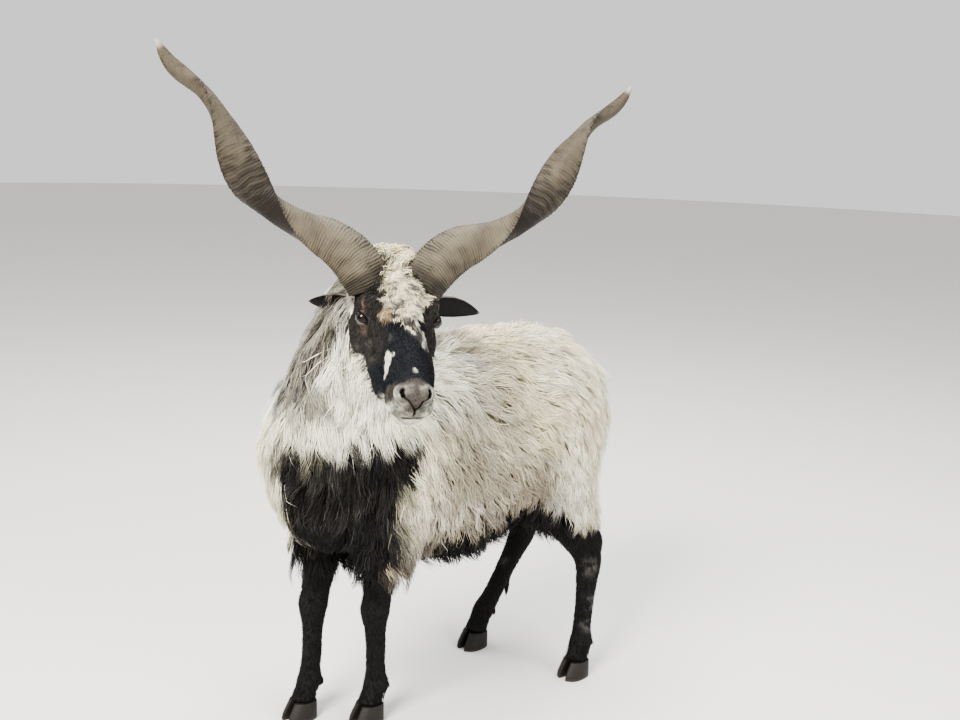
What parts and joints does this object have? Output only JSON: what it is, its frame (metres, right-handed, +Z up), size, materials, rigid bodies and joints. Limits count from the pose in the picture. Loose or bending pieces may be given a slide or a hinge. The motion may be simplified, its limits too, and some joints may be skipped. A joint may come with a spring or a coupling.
{
  "type": "racka sheep",
  "caption": "Standing ram with long upright corkscrew horns and a long waved fleece, head turned to its left, as a still life-size model.",
  "frame": {"origin": "centre of the box round the whole animal, on the floor under the hooves", "axes": "+Z up, -Y the way the body faces, +X towards the animal's left side"},
  "size_m": [0.54, 1.0548, 1.2748],
  "materials": {
    "body_wool": "long cream wool in wavy overlapping locks, greyer low on the flank and black under the belly",
    "ruff_wool": "long white and grey-brown wool of the neck, black over the breast",
    "tail_wool": "cream wool in hanging locks",
    "face_coat": "short charcoal hair with a mottled white brow and a grey-white muzzle",
    "leg_coat": "short black hair",
    "ear_skin": "black short hair with a pale thin rim",
    "eye_gloss": "wet dark amber eye with a level pupil",
    "horn_sheath": "grey-tan ringed horn, darker in the grooves",
    "hoof_horn": "dark dull hoof horn"
  },
  "bodies": {
    "root": {"head": "face_coat", "neck": "ruff_wool", "torso": "body_wool", "tail": "tail_wool", "leg_front_left": "leg_coat", "leg_front_right": "leg_coat", "leg_hind_left": "leg_coat", "leg_hind_right": "leg_coat", "hoof_front_left_outer": "hoof_horn", "hoof_front_left_inner": "hoof_horn", "hoof_front_right_outer": "hoof_horn", "hoof_front_right_inner": "hoof_horn", "hoof_hind_left_outer": "hoof_horn", "hoof_hind_left_inner": "hoof_horn", "hoof_hind_right_outer": "hoof_horn", "hoof_hind_right_inner": "hoof_horn", "horn_left": "horn_sheath", "ear_left": "ear_skin", "eye_left": "eye_gloss", "horn_right": "horn_sheath", "ear_right": "ear_skin", "eye_right": "eye_gloss"}
  },
  "joints": []
}
